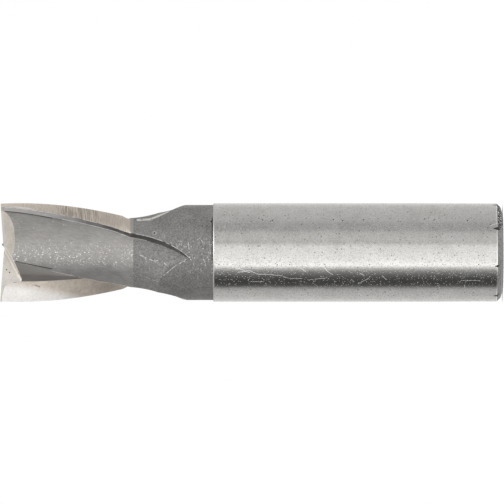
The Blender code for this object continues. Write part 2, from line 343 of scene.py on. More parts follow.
def land_cutter(tooth, materials):
    """Down the helix, then out until the land stands clear of the neck."""
    sections = [(tooth_frame(depth, tooth), land_outline(0.0)) for depth in helix_depths(LAND_LENGTH)]
    rise = LAND_RELIEF - CUTTING_RADIUS + NECK_RADIUS + GRINDING_ALLOWANCE
    for share in steps_between(0.0, 1.0, 1.0 / RUN_OUT_STEPS):
        depth = LAND_LENGTH + LAND_RUN_OUT_LENGTH * share
        sections.append((tooth_frame(depth, tooth), land_outline(rise * share ** 2)))
    return lofted_cutter(f"land_{tooth}", sections, [LAND] * len(sections[0][1]), materials)


def flute_outline():
    """The chip space ahead of a tooth: rake face, hollow root, and the side that makes the heel."""
    rake = polar(1.0, RAKE_ANGLE)
    side = polar(1.0, FLUTE_SIDE_ANGLE)
    inner_end = polar(CUTTING_RADIUS, 0.0) - rake * RAKE_FACE_WIDTH
    entry = FLUTE_ROOT_ENTRY_ANGLE - 90.0
    centre = inner_end + polar(FLUTE_ROOT_RADIUS, entry)
    root = [
        centre - polar(FLUTE_ROOT_RADIUS, angle)
        for angle in steps_between(entry, entry - FLUTE_ROOT_SWEEP, FLUTE_ROOT_SWEEP / ROOT_STEPS)
    ]
    past_edge = RAKE_FACE_WIDTH + CLEARANCE
    face = [inner_end + rake * reach for reach in steps_between(past_edge, 0.0, past_edge / FACE_STEPS)]
    heel = [root[-1] + side * reach for reach in steps_between(0.0, BLANK_RADIUS, BLANK_RADIUS / FACE_STEPS)]
    outline = [inner_end + rake * FAR, *face[:-1], *root, *heel[1:], root[-1] + side * FAR]
    return outline, [RAKE] * len(face) + [FLUTE] * (len(outline) - len(face))


def flute_cutter(tooth, materials):
    """Down the helix, and out along the arc of the milling wheel."""
    outline, sides = flute_outline()
    sections = [(tooth_frame(depth, tooth), outline) for depth in helix_depths(FLUTE_LENGTH)]
    for depth in run_out_depths(FLUTE_LENGTH, FLUTE_RUN_OUT_RADIUS, FLUTE_RUN_OUT_SWEEP):
        lift = wheel_lift(depth, FLUTE_LENGTH, FLUTE_RUN_OUT_RADIUS, FLUTE_RUN_OUT_DIRECTION)
        sections.append((tooth_frame(depth, tooth), [point + lift for point in outline]))
    return lofted_cutter(f"flute_{tooth}", sections, sides, materials)


def end_frame(tooth):
    """At the outer corner of the tip, with u along the end edge."""
    return tooth_frame(0.0, tooth) @ Matrix.Translation((CUTTING_RADIUS, 0, 0))


def end_flank_cutter(tooth, materials):
    """The primary flank behind an end edge, dished towards the centre."""
    dish = Matrix.Shear("YZ", 4, (0.0, slope(END_DISH_ANGLE)))
    clearance = Matrix.Shear("XZ", 4, (0.0, slope(END_CLEARANCE_ANGLE)))
    box_frame = end_frame(tooth) @ dish @ clearance
    low, high = (-FAR, -FAR, 0), (CLEARANCE, 0, FAR)
    return box_cutter(f"end_flank_{tooth}", low, high, box_frame, END_FLANK, materials)


def second_flank_cutter(tooth, materials):
    """The steeper flank behind the primary one, which carries on across the tooth to its heel."""
    start = Matrix.Translation((0, -END_LAND_WIDTH, -END_LAND_WIDTH * slope(END_CLEARANCE_ANGLE)))
    tilt = rotation(SECOND_CLEARANCE_TILT, "Y") @ rotation(SECOND_CLEARANCE_ANGLE, "X")
    low, high = (-FAR, -FAR, 0), (FAR, FAR, FAR)
    box_frame = end_frame(tooth) @ start @ tilt
    return box_cutter(f"second_flank_{tooth}", low, high, box_frame, END_FLANK, materials)


def gash_cutter(tooth, materials):
    """The gash ahead of an end edge. Its wall is the edge's rake face and its floor falls outwards.

    The floor crosses the axis at its own depth for each tooth. One gash reaches past the axis and
    the other stops short of it, so that one end edge cuts as far as the centre.
    """
    floor = GASH_DEPTHS_AT_AXIS[tooth] + CUTTING_RADIUS * slope(GASH_ANGLE)
    wall = Matrix.Shear("XY", 4, (0.0, slope(END_RAKE_ANGLE)))
    start = Matrix.Translation((0, -END_RAKE_SET_BACK, 0)) @ wall @ Matrix.Translation((0, 0, -floor))
    box_frame = end_frame(tooth) @ start @ rotation(GASH_ANGLE, "Y")
    low, high = (-FAR, 0, 0), (FAR, FAR, FAR)
    return box_cutter(f"gash_{tooth}", low, high, box_frame, GASH, materials, GASH_ROOT_RADIUS)


def nick_cutter(materials):
    """The notches that a serrated driver has pressed into the rim of the shank's end."""
    bm = bmesh.new()
    for index in range(NICKS):
        turn = rotation(FIRST_NICK_AT + 360.0 / NICKS * index, "Z")
        draw = noise.noise(Vector((index, 0.5, 0.5)) * NICK_SPACING_IN_NOISE)
        reach = NICK_REACH * (1.0 + NICK_VARIATION * draw)
        place = Matrix.Translation((SHANK_RADIUS, 0, reach / 2 - CLEARANCE / 4))
        bmesh.ops.create_cone(
            bm,
            cap_ends=True,
            segments=NICK_SIDES,
            radius1=NICK_WIDTH / 2,
            radius2=NICK_POINT,
            depth=reach + CLEARANCE / 2,
            matrix=turn @ place,
        )
    for face in bm.faces:
        face.material_index = SHOULDER
    return mesh_object("nicks", bm, materials)


def cut_tool(materials):
    """The blank with every cut taken from it, applied as one mesh."""
    tool = turned_blank(materials)
    makers = back_cutter, land_cutter, flute_cutter, end_flank_cutter, second_flank_cutter, gash_cutter
    cutters = [make(tooth, materials) for make in makers for tooth in range(TEETH)]
    cutters.append(nick_cutter(materials))
    for cutter in cutters:
        cut = tool.modifiers.new(cutter.name, "BOOLEAN")
        cut.operation = "DIFFERENCE"
        cut.solver = "EXACT"
        cut.material_mode = "TRANSFER"
        cut.object = cutter
    evaluated = tool.evaluated_get(bpy.context.evaluated_depsgraph_get())
    mesh = bpy.data.meshes.new_from_object(evaluated)
    tool.modifiers.clear()
    tool.data = mesh
    for cutter in cutters:
        bpy.data.objects.remove(cutter, do_unlink=True)
    mesh.shade_smooth()
    mesh.set_sharp_from_angle(angle=math.radians(SHARP_ANGLE))
    return tool


# The photograph is a square frame. Its right edge lies towards the shank, so the camera is on its side
PIXELS = 504
FRAME_WIDTH = 81.7 * MM
FRAME_MIDDLE_HEIGHT = 40.6 * MM
FRAME_MIDDLE_OFFSET = 0.08 * MM
CAMERA_DISTANCE = 1.5
CAMERA_PLACE = Vector((FRAME_MIDDLE_OFFSET, -CAMERA_DISTANCE, FRAME_MIDDLE_HEIGHT))


def height_at(column):
    """The height on the tool that shows in a column of the photograph."""
    return FRAME_MIDDLE_HEIGHT - (column - PIXELS / 2) * FRAME_WIDTH / PIXELS


def offset_at(row):
    """The distance from the axis that shows in a row of the photograph, upwards in it."""
    return FRAME_MIDDLE_OFFSET + (PIXELS / 2 - row) * FRAME_WIDTH / PIXELS


class Sight:
    """Finds the point of the finished tool that shows at a pixel of the photograph."""

    def __init__(self, tool):
        self.surface = BVHTree.FromObject(tool, bpy.context.evaluated_depsgraph_get())

    def at(self, column, row):
        target = Vector((offset_at(row), 0.0, height_at(column)))
        place, _, _, _ = self.surface.ray_cast(CAMERA_PLACE, (target - CAMERA_PLACE).normalized())
        return place


# Each finish's name, light and dark steel, roughness, size of the tool marks in mm, their height in
# bump heights, and whether they follow the helix, in the order of the finishes
FINISHES = (
    ("ground_shank", (0.72, 0.71, 0.69), (0.52, 0.51, 0.49), 0.15, (0.25, 0.25, 0.25), 0.6, False),
    ("turned_shoulder", (0.10, 0.095, 0.09), (0.06, 0.055, 0.05), 0.5, (0.3, 0.3, 0.3), 0.5, False),
    ("turned_neck", (0.47, 0.46, 0.45), (0.22, 0.215, 0.21), 0.78, (0.3, 0.3, 0.2), 1.6, False),
    ("rough_chamfer", (0.52, 0.515, 0.50), (0.20, 0.20, 0.195), 0.55, (0.3, 0.3, 0.3), 4.0, False),
    ("turned_end", (0.36, 0.355, 0.345), (0.24, 0.235, 0.225), 0.45, (0.3, 0.3, 0.3), 1.0, False),
    ("milled_back", (0.50, 0.485, 0.47), (0.35, 0.34, 0.325), 0.64, (0.14, 0.14, 0.9), 1.0, True),
    ("milled_step", (0.34, 0.33, 0.32), (0.20, 0.195, 0.19), 0.45, (0.14, 0.14, 3.0), 1.0, True),
    ("ground_land", (0.80, 0.72, 0.63), (0.56, 0.50, 0.43), 0.4, (1.2, 1.2, 0.16), 1.0, False),
    ("ground_rake", (0.78, 0.70, 0.62), (0.60, 0.54, 0.47), 0.6, (0.5, 0.5, 0.5), 1.0, False),
    ("milled_flute", (0.42, 0.405, 0.39), (0.32, 0.31, 0.295), 0.6, (0.14, 0.14, 3.0), 1.0, True),
    ("ground_end_flank", (0.57, 0.53, 0.475), (0.40, 0.37, 0.33), 0.42, (0.25, 0.25, 0.25), 1.0, False),
    ("ground_gash", (0.74, 0.71, 0.67), (0.62, 0.59, 0.55), 0.5, (0.4, 0.4, 0.4), 1.0, False),
)
BURR_FINISH = ("raised_burr", (0.95, 0.94, 0.93), (0.75, 0.74, 0.73), 0.4, (0.2, 0.2, 0.2), 1.0, False)

CLOUD_SIZE = 2.5 * MM
MARKS_SHARE = 0.65
STEEL_CONTRAST = (0.35, 0.65)
CLOUD_CONTRAST = (0.3, 0.7)
ROUGHNESS_SPREAD = 0.15
GRAIN_DETAIL = 3.0
GRAIN_ROUGHNESS = 0.6
BUMP_HEIGHT = 0.01 * MM
EDGE_SOFTNESS = 0.05 * MM
SPECK_CORE = 0.6
LINE_BREAK_GRAIN = 0.3 * MM
LINE_BREAK_SOFTNESS = 0.12
LINE_ROUGHNESS = 0.5

# A coat of paint is a colour and a roughness
# Dark pits: painted shade inside each hollow, with a dent in the bump
PIT_SHADE = ((0.05, 0.045, 0.04), 0.6)
PIT_HEIGHT = -2.0


def node(tree, kind, inputs=None, **settings):
    """A shader node with its settings and inputs. An input is a value or another node's output."""
    made = tree.nodes.new(kind)
    for name, value in settings.items():
        setattr(made, name, value)
    for name, value in (inputs or {}).items():
        if isinstance(value, bpy.types.NodeSocket):
            tree.links.new(value, made.inputs[name])
        else:
            made.inputs[name].default_value = value
    return made


def math_node(tree, operation, first, second=0.0):
    return node(tree, "ShaderNodeMath", {0: first, 1: second}, operation=operation).outputs[0]


def ramp(tree, value, low, high, to_low=0.0, to_high=1.0):
    inputs = {"Value": value, "From Min": low, "From Max": high, "To Min": to_low, "To Max": to_high}
    return node(tree, "ShaderNodeMapRange", inputs, clamp=True).outputs["Result"]


def opaque(colour):
    return (*colour, 1.0)


class Surface:
    """A steel finish being made: its nodes, and its colour, roughness and height so far.

    It starts as light and dark steel, mixed by the marks of the tool that cut it and by a cloud.
    Masks come from its own methods: each is 1 where the next coat of paint covers, and 0 elsewhere.
    """

    def __init__(self, material, light, dark, roughness, marks, bump, follow_helix):
        material.use_nodes = True
        self.tree = material.node_tree
        self.position = self.node("ShaderNodeTexCoord").outputs["Object"]
        self.place = self.node("ShaderNodeSeparateXYZ", {"Vector": self.position}).outputs
        marks = tuple(length * MM for length in marks)
        ground = self.grain(self.untwisted() if follow_helix else self.position, marks)
        cloud = self.grain(self.position, (CLOUD_SIZE,) * 3)
        marked = self.math("MULTIPLY", ground, MARKS_SHARE)
        clouded = self.math("MULTIPLY", cloud, 1.0 - MARKS_SHARE)
        steel = self.ramp(self.math("ADD", marked, clouded), *STEEL_CONTRAST)
        self.colour = self.mixed(steel, opaque(dark), opaque(light))
        lowest, highest = roughness * (1.0 - ROUGHNESS_SPREAD), roughness * (1.0 + ROUGHNESS_SPREAD)
        self.roughness = self.ramp(cloud, *CLOUD_CONTRAST, lowest, highest)
        self.height = self.math("MULTIPLY", ground, bump)

    def node(self, kind, inputs=None, **settings):
        return node(self.tree, kind, inputs, **settings)

    def math(self, operation, first, second=0.0):
        return math_node(self.tree, operation, first, second)

    def vector(self, operation, first, second, output="Vector"):
        inputs = {0: first, 1: second}
        return self.node("ShaderNodeVectorMath", inputs, operation=operation).outputs[output]

    def ramp(self, value, low, high, to_low=0.0, to_high=1.0):
        return ramp(self.tree, value, low, high, to_low, to_high)

    def mixed(self, share, first, second, kind="RGBA"):
        inputs = {"Factor": share, "A": first, "B": second}
        return self.node("ShaderNodeMix", inputs, data_type=kind).outputs["Result"]

    def grain(self, position, size):
        """Noise whose grains have this size, in metres along x, y and z."""
        scale = tuple(1.0 / length for length in size)
        mapped = self.node("ShaderNodeMapping", {"Vector": position, "Scale": scale}).outputs["Vector"]
        inputs = {"Vector": mapped, "Scale": 1.0, "Detail": GRAIN_DETAIL, "Roughness": GRAIN_ROUGHNESS}
        return self.node("ShaderNodeTexNoise", inputs).outputs["Fac"]

    def depth(self):
        return self.math("SUBTRACT", OVERALL_LENGTH, self.place["Z"])

    def untwisted(self):
        """The position turned back along the helix, so that a line along a flute keeps its x and y."""
        turn = self.math("MULTIPLY", self.math("MINIMUM", self.depth(), FLUTE_LENGTH), TWIST)
        inputs = {"Vector": self.position, "Angle": turn}
        return self.node("ShaderNodeVectorRotate", inputs, rotation_type="Z_AXIS").outputs["Vector"]

    def reach_along_tooth(self):
        """How far out a point lies along the line through both cutting corners of its section."""
        corner = polar(1.0, FIRST_TOOTH_AT).to_3d()
        return self.math("ABSOLUTE", self.vector("DOT_PRODUCT", self.untwisted(), corner, "Value"))

    def specks(self, cell, share, size):
        """Round spots: a share of the cells of this size has one, whose radius is so much of the cell."""
        inputs = {"Vector": self.position, "Scale": 1.0 / cell}
        cells = self.node("ShaderNodeTexVoronoi", inputs).outputs
        chance = self.node("ShaderNodeSeparateXYZ", {"Vector": cells["Color"]}).outputs["X"]
        inside = self.ramp(cells["Distance"], size, size * SPECK_CORE)
        return self.both(inside, self.math("LESS_THAN", chance, share))

    def patches(self, size, low, high):
        """Irregular patches of about this size, where noise rises from low to high."""
        return self.ramp(self.grain(self.position, (size,) * 3), low, high)

    def spot(self, centre, radius):
        distance = self.vector("DISTANCE", self.position, centre, "Value")
        return self.ramp(distance, radius, radius / 2)

    def stroke(self, start, end, width):
        """A straight scratch between two points."""
        along = end - start
        reach = self.vector("SUBTRACT", self.position, start)
        share = self.vector("DOT_PRODUCT", reach, along / along.length_squared, "Value")
        inputs = {0: along, 3: self.ramp(share, 0.0, 1.0)}
        nearest = self.node("ShaderNodeVectorMath", inputs, operation="SCALE").outputs["Vector"]
        return self.ramp(self.vector("DISTANCE", reach, nearest, "Value"), width, width / 3)

    def above(self, height, softness=EDGE_SOFTNESS):
        return self.ramp(self.place["Z"], height - softness, height + softness)

    def below(self, height, softness=EDGE_SOFTNESS):
        return self.ramp(self.place["Z"], height + softness, height - softness)

    def along_x(self, start, end):
        """From 0 at one distance from the axis, as the camera sees it, to 1 at another."""
        return self.ramp(self.place["X"], start, end)

    def spanned(self, rise, fall):
        """A band along the tool, which rises over one stretch of x and falls over another."""
        return self.both(self.along_x(*rise), self.along_x(*fall))

    def both(self, first, second):
        return self.math("MULTIPLY", first, second)

    def paint(self, mask, colour, roughness, height=0.0):
        """A coat where the mask is 1. The colour is three numbers or a node's output."""
        if not isinstance(colour, bpy.types.NodeSocket):
            colour = opaque(colour)
        self.colour = self.mixed(mask, self.colour, colour)
        if roughness is not None:
            self.roughness = self.mixed(mask, self.roughness, roughness, "FLOAT")
        if height:
            self.height = self.math("ADD", self.height, self.math("MULTIPLY", mask, height))

    def speckle(self, kinds, mask=None):
        for cell, share, size, colour, roughness in kinds:
            spots = self.specks(cell, share, size)
            self.paint(self.both(mask, spots) if mask else spots, colour, roughness)

    # Painted shade inside a pit, with a dent in the bump
    def pit(self, centre, radius):
        self.paint(self.spot(centre, radius), *PIT_SHADE, PIT_HEIGHT)

    def wear_and_painted_light(self, sight, lines):
        """Worn lines and lines of painted highlight and shade, through points of the photograph, left out
        where a fine grain is low.
        """
        for pixels, width, colour, least in lines:
            line_kept = self.patches(LINE_BREAK_GRAIN, least, least + LINE_BREAK_SOFTNESS)
            for start, end in zip(pixels, pixels[1:]):
                stroke = self.stroke(sight.at(*start), sight.at(*end), width)
                self.paint(self.both(stroke, line_kept), colour, LINE_ROUGHNESS)

    def close(self):
        shader = self.tree.nodes["Principled BSDF"]
        shader.inputs["Metallic"].default_value = 1.0
        inputs = {"Height": self.height, "Strength": 1.0, "Distance": BUMP_HEIGHT}
        normal = self.node("ShaderNodeBump", inputs).outputs["Normal"]
        self.tree.links.new(self.colour, shader.inputs["Base Color"])
        self.tree.links.new(self.roughness, shader.inputs["Roughness"])
        self.tree.links.new(normal, shader.inputs["Normal"])


WHITE = (0.92, 0.92, 0.91)
PALE = (0.72, 0.71, 0.70)
# The colour of the painted shade in the crease at the foot of the step
FOOT_SHADE_COLOUR = (0.07, 0.065, 0.06)

# Where the ground part of the flutes gives way to the darker neck
GRINDING_END = height_at(133.8)

# Patches are a size and the two ends of their ramp. Specks are the size of a cell, the share of
# cells with one, the speck's radius in cells, its colour and its roughness. Worn lines, and lines of
# painted highlight and shade, are pixels, half the width, colour, and how low the grain may be
SHANK_BLOTCHES = (0.35 * MM, 0.58, 0.72)
SHANK_BLOTCH = ((0.42, 0.40, 0.37), 0.3)
SHANK_SPECKS = (
    (0.28 * MM, 0.5, 0.36, (0.6, 0.595, 0.59), 0.7),
    (0.5 * MM, 0.14, 0.26, (0.30, 0.23, 0.18), 0.4),
)
# A painted highlight: a white band round the shank just above its end chamfer
SHANK_RIM_HIGHLIGHT_WIDTH = 0.14 * MM
SHANK_RIM_HIGHLIGHT = (WHITE, 0.3)
SHANK_EDGE = ((0.5, 0.49, 0.48), 0.5)
SHANK_EDGE_SOFTNESS = 0.02 * MM
SHANK_PIT_RADIUS = 0.15 * MM
SHANK_PITS = (
    (262.5, 219.9),
    (272.3, 220.4),
    (333.3, 219.6),
    (342.6, 220.5),
    (363.5, 219.9),
    (424.5, 219.0),
    (434.0, 220.0),
    (467.5, 220.5),
)
SHANK_SCRATCHES = (
    ((235.7, 269.0), (239.5, 269.0)),
    ((238.3, 272.2), (244.6, 271.5), (248.5, 270.3), (257.4, 274.1), (271.4, 274.7), (281.6, 275.6)),
    ((236.5, 267.5), (250.0, 272.7)),
    ((249.7, 281.7), (263.8, 281.7)),
    ((282.9, 276.6), (289.3, 278.5), (302.0, 278.5)),
    ((300.8, 268.3), (305.9, 271.5)),
    ((309.7, 279.8), (326.3, 277.9)),
    ((325.0, 268.3), (327.6, 271.5), (332.7, 274.7)),
    ((351.1, 279.2), (354.3, 281.7)),
    ((358.2, 283.6), (368.4, 278.5)),
    ((360.0, 273.4), (364.5, 275.6)),
    ((358.8, 293.2), (362.0, 295.8)),
    ((382.4, 276.0), (386.9, 279.8)),
    ((437.5, 285.1), (439.6, 287.6)),
    ((461.0, 280.5), (480.0, 280.5)),
    ((464.4, 285.8), (465.0, 288.0)),
    ((491.0, 225.5), (497.0, 223.5)),
)
SHANK_LINES = [(scratch, 0.085 * MM, (0.95, 0.95, 0.95), 0.25) for scratch in SHANK_SCRATCHES]


def shank_marks(surface, sight):
    """Blotches and small dull specks, a painted highlight along the rim at the end, a few pits and
    scratches.
    """
    surface.paint(surface.patches(*SHANK_BLOTCHES), *SHANK_BLOTCH)
    surface.speckle(SHANK_SPECKS)
    # Painted highlight along the rim above the end chamfer
    rim = surface.below(SHANK_END_FALL_HEIGHT + SHANK_END_CHAMFER + SHANK_RIM_HIGHLIGHT_WIDTH)
    surface.paint(rim, *SHANK_RIM_HIGHLIGHT)
    shoulder = surface.above(SHANK_LENGTH - SHANK_SHOULDER_CHAMFER, SHANK_EDGE_SOFTNESS)
    surface.paint(shoulder, *SHANK_EDGE)
    for column, row in SHANK_PITS:
        surface.pit(sight.at(column, row), SHANK_PIT_RADIUS)
    surface.wear_and_painted_light(sight, SHANK_LINES)


NECK_GROUND = ((0.46, 0.445, 0.42), 0.5)
LAND_END_HEIGHT = height_at(130.8)
LAND_END_SOFTNESS = 0.12 * MM
LAND_END = ((0.68, 0.61, 0.53), 0.45)
# The band of the neck where its highlight falls, as ramps along x. Light specks are painted there as glints
NECK_GLINT_BAND = ((-5.2 * MM, -3.0 * MM), (3.2 * MM, 1.2 * MM))
NECK_GLINTS = ((0.3 * MM, 0.24, 0.36, (0.66, 0.65, 0.64), 0.5),)
CRESCENT = ((138, 220), (150, 219.3), (158, 216.2), (168, 211.6))
RUN_OUT_RIM = ((190, 257), (180.2, 263.2), (174.1, 266.7), (166.9, 272.9), (160.8, 277.4))
# A burr along the run-out rim, with a painted highlight on it
RUN_OUT_BURR_HIGHLIGHT = (RUN_OUT_RIM, 0.09 * MM, WHITE, 0.42)
# On the neck: the crescent, and the run-out rim's painted highlight
NECK_LINES = ((CRESCENT, 0.3 * MM, (0.85, 0.83, 0.78), 0.3), RUN_OUT_BURR_HIGHLIGHT)
# Painted shade: a dark line on the neck in the corner where it meets the shank's shoulder
SHOULDER_SHADE_HEIGHT = 0.2 * MM
SHOULDER_SHADE_SPAN = ((offset_at(264), offset_at(260)), (offset_at(216), offset_at(220)))
SHOULDER_SHADE = ((0.03, 0.028, 0.026), 0.6)
RUST_PLACE = (211.6, 221.5)
RUST_RADIUS = 0.25 * MM
RUST = ((0.06, 0.035, 0.02), 0.7)
NECK_PITS = ((154.5, 233.0, 0.22 * MM), (163.5, 236.0, 0.14 * MM))
PIT_RIM = ((0.6, 0.6, 0.6), 0.5)
PIT_RIM_SHARE = 1.8
NECK_SCRATCHES = (
    ((181, 240), (182, 250)),
    ((184, 246), (186, 258)),
    ((188.5, 243), (189, 249)),
    ((192, 255), (194, 266)),
    ((197, 240), (200, 238)),
    ((200, 238), (204, 244)),
    ((204, 258), (205.5, 266)),
    ((209, 242), (210.5, 254)),
    ((176, 244), (178, 249)),
)
PALE_SCRATCH = (0.075 * MM, PALE, 0.42)


def neck_marks(surface, sight):
    """Left dark and dull by the hardening, with pale scratches, two pits, painted glints and a painted shade
    line at the shank.
    """
    surface.paint(surface.above(GRINDING_END), *NECK_GROUND)
    surface.paint(surface.above(LAND_END_HEIGHT, LAND_END_SOFTNESS), *LAND_END)
    # Painted glints: light specks only in the band where the highlight falls
    surface.speckle(NECK_GLINTS, surface.spanned(*NECK_GLINT_BAND))
    surface.wear_and_painted_light(sight, NECK_LINES)
    # Painted shade in the corner at the shank's shoulder
    line = surface.below(SHANK_LENGTH + SHOULDER_SHADE_HEIGHT)
    surface.paint(surface.both(line, surface.spanned(*SHOULDER_SHADE_SPAN)), *SHOULDER_SHADE)
    surface.paint(surface.spot(sight.at(*RUST_PLACE), RUST_RADIUS), *RUST)
    for column, row, radius in NECK_PITS:
        centre = sight.at(column, row)
        surface.paint(surface.spot(centre, radius * PIT_RIM_SHARE), *PIT_RIM)
        surface.pit(centre, radius)
    surface.wear_and_painted_light(sight, [(scratch, *PALE_SCRATCH) for scratch in NECK_SCRATCHES])


DARK_PATCHES = (0.25 * MM, 0.3, 0.7)


def darken_past_grinding(surface):
    """Steel like the neck's, towards the shank from where the ground part of the flutes ends."""
    _, light, dark, roughness, *_ = FINISHES[NECK]
    steel = surface.mixed(surface.patches(*DARK_PATCHES), opaque(dark), opaque(light))
    surface.paint(surface.below(GRINDING_END), steel, roughness)


# Painted glints: white specks in patches within the band of the back where its highlight falls
BACK_GLINT_PATCHES = (1.6 * MM, 0.3, 0.6)
BACK_GLINT_BAND = ((-2.6 * MM, -1.7 * MM), (2.2 * MM, 0.2 * MM))
BACK_GLINTS = ((0.22 * MM, 0.5, 0.36, WHITE, 0.4), (0.34 * MM, 0.24, 0.36, WHITE, 0.4))
BACK_SPECKS = ((0.5 * MM, 0.06, 0.3, (0.62, 0.6, 0.58), 0.5),)
STEP_FOOT = ((4, 211.4), (20, 212.9), (36, 215.2), (52, 218.3))
# Painted shade: a dark line in the crease at the foot of the step's wall
STEP_FOOT_SHADE = (STEP_FOOT, 0.14 * MM, FOOT_SHADE_COLOUR, 0.2)
# Painted shade: a dark line along the ridge, where the back bends away below it
RIDGE = ((16, 261.3), (22, 262.8), (37, 265.9), (52, 268.9))
# Painted highlight on the run-out burr, and painted shade at the step's foot and along the ridge
BACK_HIGHLIGHT_AND_SHADE_LINES = (RUN_OUT_BURR_HIGHLIGHT, STEP_FOOT_SHADE, (RIDGE, 0.12 * MM, (0.1, 0.095, 0.09), 0.2))
BACK_SCRATCHES = (
    ((154, 260), (158, 260.7)),
    ((164, 263), (171, 268)),
    ((140, 275), (158, 282)),
    ((140, 255), (156, 262)),
    ((145, 258), (147, 262)),
    ((133, 272), (136, 277)),
)


def back_marks(surface, sight):
    """Painted glints: bright specks in the band along it where its highlight falls. Past the end of the
    grinding it is as dark as the neck.
    """
    glint_band = surface.both(surface.patches(*BACK_GLINT_PATCHES), surface.spanned(*BACK_GLINT_BAND))
    surface.speckle(BACK_GLINTS, glint_band)
    surface.speckle(BACK_SPECKS)
    darken_past_grinding(surface)
    surface.wear_and_painted_light(sight, BACK_HIGHLIGHT_AND_SHADE_LINES)
    surface.wear_and_painted_light(sight, [(scratch, *PALE_SCRATCH) for scratch in BACK_SCRATCHES])


def flute_marks(surface, sight):
    darken_past_grinding(surface)


def step_marks(surface, sight):
    # Painted shade at the foot of the wall
    surface.wear_and_painted_light(sight, [STEP_FOOT_SHADE])


LAND_SPECKS = ((0.6 * MM, 0.12, 0.25, (0.4, 0.35, 0.3), 0.5),)
STREAKED_HEIGHTS = (height_at(100), height_at(56))
STREAKED_SOFTNESS = 0.8 * MM
STREAK_SIZE = (2.5 * MM, 2.5 * MM, 0.18 * MM)
STREAK_CONTRAST = (0.48, 0.6)
STREAK = ((0.42, 0.37, 0.315), 0.5)
# Painted highlight: a bright line along the land's edge behind the tip
LAND_EDGE_HIGHLIGHT = ((((2, 206.5), (20, 207.4), (30, 208.5)), 0.22 * MM, (0.90, 0.87, 0.83), 0.3),)


def land_marks(surface, sight):
    """Ground round the axis, with darker streaks in the middle and a painted highlight along its edge behind
    the tip.
    """
    surface.speckle(LAND_SPECKS)
    lowest, highest = STREAKED_HEIGHTS
    below, above = surface.below(highest, STREAKED_SOFTNESS), surface.above(lowest, STREAKED_SOFTNESS)
    streaks = surface.ramp(surface.grain(surface.position, STREAK_SIZE), *STREAK_CONTRAST)
    surface.paint(surface.both(surface.both(below, above), streaks), *STREAK)
    surface.wear_and_painted_light(sight, LAND_EDGE_HIGHLIGHT)


# The bright part starts this far out at the tip, and further out with the square of the depth
RAKE_BRIGHT_FROM = 4.7 * MM
RAKE_BRIGHT_CURVE = 18.0
RAKE_BRIGHT_WANDER = 0.5 * MM
RAKE_BRIGHT_SOFTNESS = 1.5 * MM
RAKE_WANDER_PATCHES = (0.4 * MM, 0.2, 0.8)
RAKE_BRIGHT_PATCHES = (0.3 * MM, 0.4, 0.6)
RAKE_BRIGHT = ((0.93, 0.89, 0.85), (1.0, 0.99, 0.97))
RAKE_LINES = ((((27, 283.8), (33, 285), (40, 286.4)), 0.2 * MM, (0.30, 0.22, 0.17), 0.48),)
RAKE_SHADOW_ENDS = ((14, 282.3), (19.5, 281.3))
RAKE_SHADOW_WIDTH = 0.12 * MM
RAKE_SHADOW = ((0.12, 0.09, 0.07), 0.6)


def rake_marks(surface, sight):
    """Ground bright near the cutting corner, and browner towards the root and the shank."""
    depth = surface.depth()
    curve = surface.math("MULTIPLY", surface.math("MULTIPLY", depth, depth), RAKE_BRIGHT_CURVE)
    bright_from = surface.math("ADD", curve, RAKE_BRIGHT_FROM)
    past = surface.math("SUBTRACT", surface.reach_along_tooth(), bright_from)
    wander = surface.math("MULTIPLY", surface.patches(*RAKE_WANDER_PATCHES), RAKE_BRIGHT_WANDER)
    bright = surface.ramp(surface.math("ADD", past, wander), 0.0, RAKE_BRIGHT_SOFTNESS)
    dull, white = RAKE_BRIGHT
    steel = surface.mixed(surface.patches(*RAKE_BRIGHT_PATCHES), opaque(dull), opaque(white))
    surface.paint(bright, steel, None)
    surface.wear_and_painted_light(sight, RAKE_LINES)
    start, end = RAKE_SHADOW_ENDS
    shadow = surface.stroke(sight.at(*start), sight.at(*end), RAKE_SHADOW_WIDTH)
    surface.paint(shadow, *RAKE_SHADOW)


BEHIND_LAND_SPAN = ((offset_at(211.6), offset_at(210.8)), (offset_at(206.8), offset_at(207.4)))
BEHIND_LAND = ((0.33, 0.32, 0.31), 0.45)


def end_flank_marks(surface, sight):
    """A grey strip behind the land."""
    surface.paint(surface.spanned(*BEHIND_LAND_SPAN), *BEHIND_LAND)


# Painted shade: the gash's rounded corner, painted darker along a stroke
GASH_CORNER_SHADE_ENDS = ((6, 252), (21.5, 277.5))
GASH_CORNER_SHADE_WIDTH = 0.6 * MM
GASH_CORNER_SHADE = ((0.55, 0.51, 0.46), 0.6)
GASH_PIT_RADIUS = 0.14 * MM
GASH_PITS = ((6.6, 269.7), (9.5, 272.5), (18.6, 273.2))


def gash_marks(surface, sight):
    """Painted shade in its rounded corner, and a few pits."""
    start, end = GASH_CORNER_SHADE_ENDS
    # Painted shade along the rounded corner
    corner = surface.stroke(sight.at(*start), sight.at(*end), GASH_CORNER_SHADE_WIDTH)
    surface.paint(corner, *GASH_CORNER_SHADE)
    for column, row in GASH_PITS:
        surface.pit(sight.at(column, row), GASH_PIT_RADIUS)


CHAMFER_RIM_HEIGHT = 0.08 * MM
CHAMFER_RIM_SOFTNESS = 0.12 * MM
CHAMFER_RIM_PATCHES = (0.3 * MM, 0.3, 0.45)
CHAMFER_RIM = ((0.08, 0.08, 0.08), 0.6)
TORN_SIDE = (offset_at(232), offset_at(226))
TORN_PATCHES = (0.35 * MM, 0.45, 0.5)
TORN = ((0.06, 0.06, 0.055), 0.6)
# Painted glints: white specks on the chamfer's side towards +x, where its highlights fall
TORN_SIDE_GLINTS = ((0.4 * MM, 0.4, 0.4, WHITE, 0.3),)


